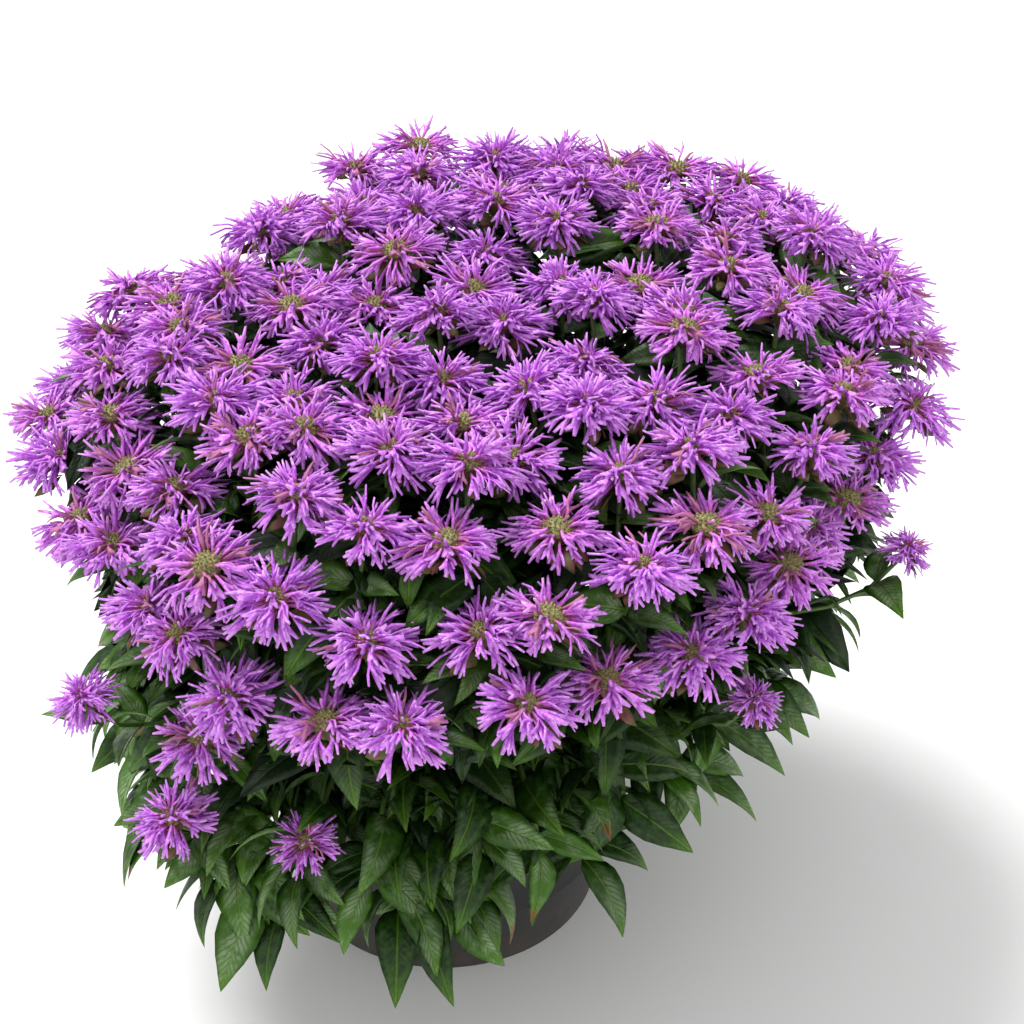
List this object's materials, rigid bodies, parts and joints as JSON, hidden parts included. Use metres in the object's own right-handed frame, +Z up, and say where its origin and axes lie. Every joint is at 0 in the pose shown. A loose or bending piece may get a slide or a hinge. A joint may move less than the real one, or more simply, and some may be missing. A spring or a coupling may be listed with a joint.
{
  "type": "potted bee balm",
  "caption": "Compact clump of bee balm in full bloom: shaggy round flower heads over toothed lance-shaped leaves on square stems, rooted in a plain round nursery pot.",
  "frame": {"origin": "centre of the pot's flat base", "axes": "+Z up along the pot's axis, +X to the right and +Y away from the side that the picture shows"},
  "size_m": [0.6564, 0.6862, 0.4935],
  "materials": {
    "pot_plastic": "moulded black polypropylene with a low satin sheen",
    "potting_mix": "damp bark and peat mix with pale perlite grains",
    "foliage": "semi-gloss quilted green leaves, and matt green square stems",
    "petals": "soft matt lilac-purple petals"
  },
  "bodies": {
    "root": {"pot": "pot_plastic", "soil": "potting_mix", "leafy_stem_01": "foliage", "leafy_stem_02": "foliage", "leafy_stem_03": "foliage", "leafy_stem_04": "foliage", "leafy_stem_05": "foliage", "leafy_stem_06": "foliage", "leafy_stem_07": "foliage", "leafy_stem_08": "foliage", "leafy_stem_09": "foliage", "leafy_stem_10": "foliage", "leafy_stem_11": "foliage", "leafy_stem_12": "foliage", "leafy_stem_13": "foliage", "leafy_stem_14": "foliage", "leafy_stem_15": "foliage", "leafy_stem_16": "foliage", "leafy_stem_17": "foliage", "leafy_stem_18": "foliage", "leafy_stem_19": "foliage", "leafy_stem_20": "foliage", "leafy_stem_21": "foliage", "leafy_stem_22": "foliage", "leafy_stem_23": "foliage", "leafy_stem_24": "foliage", "blooms_01": "petals", "blooms_02": "petals", "blooms_03": "petals", "blooms_04": "petals", "blooms_05": "petals", "blooms_06": "petals", "blooms_07": "petals", "blooms_08": "petals", "blooms_09": "petals", "blooms_10": "petals", "blooms_11": "petals", "blooms_12": "petals", "blooms_13": "petals", "blooms_14": "petals", "blooms_15": "petals", "blooms_16": "petals", "blooms_17": "petals", "blooms_18": "petals", "blooms_19": "petals", "blooms_20": "petals", "blooms_21": "petals", "blooms_22": "petals", "blooms_23": "petals", "blooms_24": "petals", "low_bloom_01": "petals", "low_bloom_02": "petals", "low_bloom_03": "petals", "low_bloom_04": "petals", "low_bloom_05": "petals", "low_bloom_06": "petals", "low_bloom_07": "petals", "low_bloom_08": "petals", "low_bloom_09": "petals", "low_bloom_10": "petals"}
  },
  "joints": []
}
